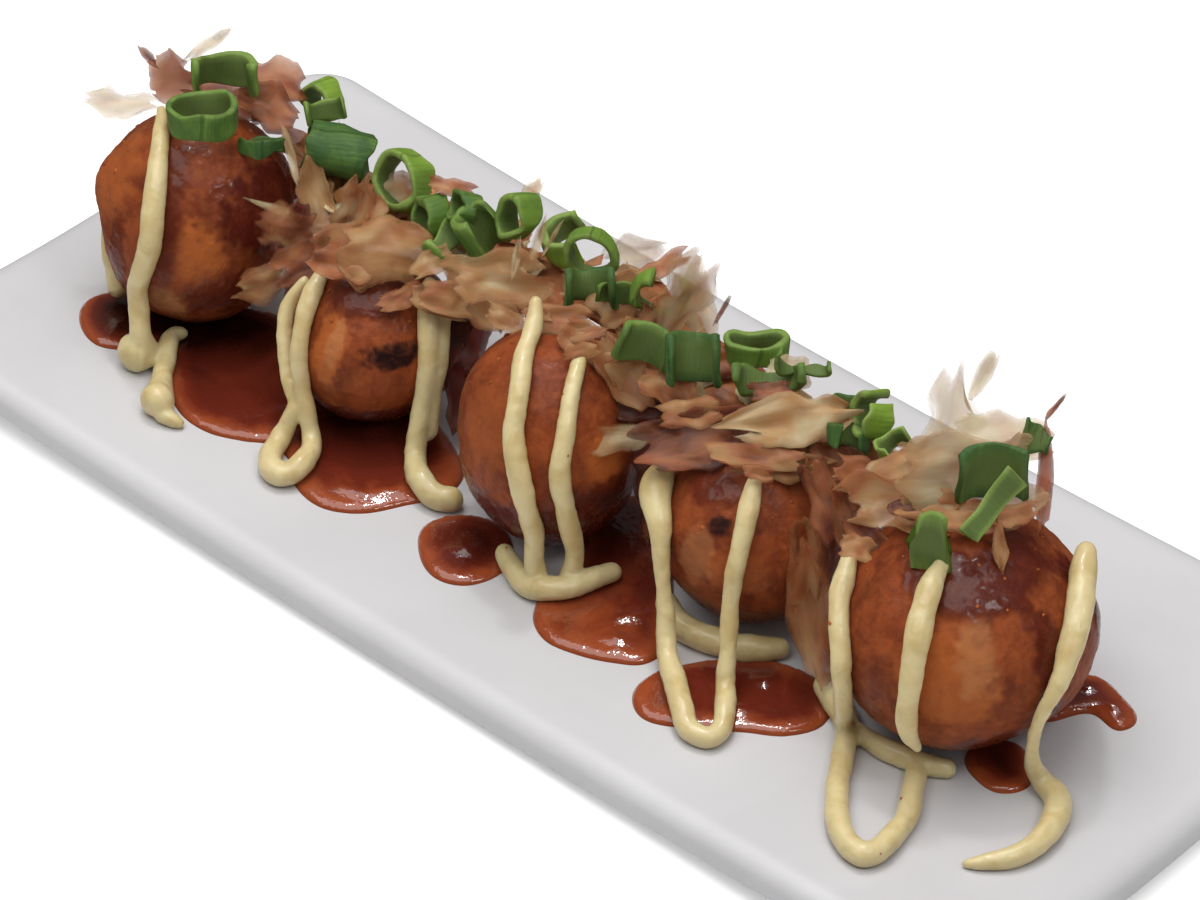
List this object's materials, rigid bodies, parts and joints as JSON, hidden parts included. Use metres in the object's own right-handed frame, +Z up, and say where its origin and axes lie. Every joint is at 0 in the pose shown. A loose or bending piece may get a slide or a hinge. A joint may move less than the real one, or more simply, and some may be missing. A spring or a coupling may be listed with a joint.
{
  "type": "plate of takoyaki balls",
  "caption": "Browned batter balls in a row on a long plate, dressed with brown sauce, ribbons of mayonnaise, curled fish flakes and sliced spring onion.",
  "frame": {"origin": "middle of the plate's footprint, on the surface that the plate stands on", "axes": "+X along the row towards the largest ball, +Y across the plate, +Z up"},
  "size_m": [0.29, 0.1264, 0.0716],
  "materials": {
    "plate_glaze": "smooth pale glaze",
    "crust": "browned batter under a thin glaze of sauce",
    "sauce": "wet dark brown sauce",
    "mayonnaise": "soft satin, pale yellow",
    "flake": "dry, thin and fibrous",
    "spring_onion": "moist green with pale bores"
  },
  "bodies": {
    "root": {"plate": "plate_glaze", "ball_1": "crust", "ball_2": "crust", "ball_3": "crust", "ball_4": "crust", "ball_5": "crust", "sauce_1_2": "sauce", "sauce_3_left": "sauce", "sauce_3_4": "sauce", "sauce_4_front": "sauce", "sauce_5_side": "sauce", "sauce_5_front": "sauce", "mayo_1_left": "mayonnaise", "mayo_1_front": "mayonnaise", "mayo_2_left": "mayonnaise", "mayo_2_right": "mayonnaise", "mayo_3": "mayonnaise", "mayo_4": "mayonnaise", "mayo_4_foot": "mayonnaise", "mayo_5_loop": "mayonnaise", "mayo_5_middle": "mayonnaise", "mayo_5_right": "mayonnaise", "flake_bed": "flake", "flake_1_left": "flake", "flake_1_right": "flake", "flake_1_top": "flake", "flake_2_curl": "flake", "flake_2_bridge": "flake", "flake_2_front": "flake", "flake_2_upright": "flake", "flake_3_left": "flake", "flake_3_back": "flake", "flake_3_tall": "flake", "flake_3_right": "flake", "flake_4_low": "flake", "flake_4_leaf": "flake", "flake_4_hanging": "flake", "flake_5_curl": "flake", "flake_5_sheet": "flake", "flake_5_upright": "flake", "onion_1_back": "spring_onion", "onion_1_front": "spring_onion", "onion_1_side": "spring_onion", "onion_2_left": "spring_onion", "onion_2_bright": "spring_onion", "onion_2_small": "spring_onion", "onion_2_long": "spring_onion", "onion_2_chunk": "spring_onion", "onion_3_hoop": "spring_onion", "onion_3_bright": "spring_onion", "onion_3_arch": "spring_onion", "onion_3_front": "spring_onion", "onion_4_arch": "spring_onion", "onion_4_left": "spring_onion", "onion_4_middle": "spring_onion", "onion_4_top": "spring_onion", "onion_4_right": "spring_onion", "onion_5_bright": "spring_onion", "onion_5_leaf": "spring_onion", "onion_5_front": "spring_onion"}
  },
  "joints": []
}
